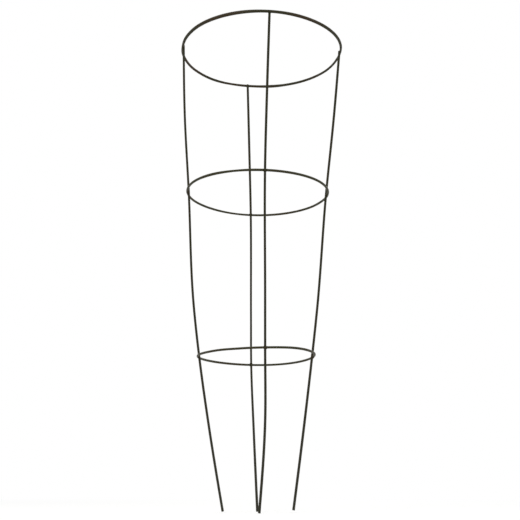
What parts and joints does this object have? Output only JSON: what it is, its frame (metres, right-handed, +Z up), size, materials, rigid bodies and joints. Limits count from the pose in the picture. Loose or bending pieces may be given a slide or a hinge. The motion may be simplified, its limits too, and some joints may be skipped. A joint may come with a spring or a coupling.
{
  "type": "plant support",
  "caption": "Free-standing round wire plant support: hoops of falling width welded round upright legs that draw in towards the ground.",
  "frame": {"origin": "on the ground, under the middle of the top hoop, level with the ends of the legs", "axes": "+Z up; the front leg is on -Y, the right leg on +X, the back leg on +Y and the left leg on -X"},
  "size_m": [0.306, 0.306, 0.8493],
  "materials": {
    "hoop_wire": "satin",
    "leg_wire": "satin",
    "weld_metal": "satin"
  },
  "bodies": {
    "root": {"hoop_top": "hoop_wire", "hoop_middle": "hoop_wire", "hoop_lower": "hoop_wire", "leg_front": "leg_wire", "leg_right": "leg_wire", "leg_back": "leg_wire", "leg_left": "leg_wire", "weld_top_front": "weld_metal", "weld_top_right": "weld_metal", "weld_top_back": "weld_metal", "weld_top_left": "weld_metal", "weld_middle_front": "weld_metal", "weld_middle_right": "weld_metal", "weld_middle_back": "weld_metal", "weld_middle_left": "weld_metal", "weld_lower_front": "weld_metal", "weld_lower_right": "weld_metal", "weld_lower_back": "weld_metal", "weld_lower_left": "weld_metal"}
  },
  "joints": []
}
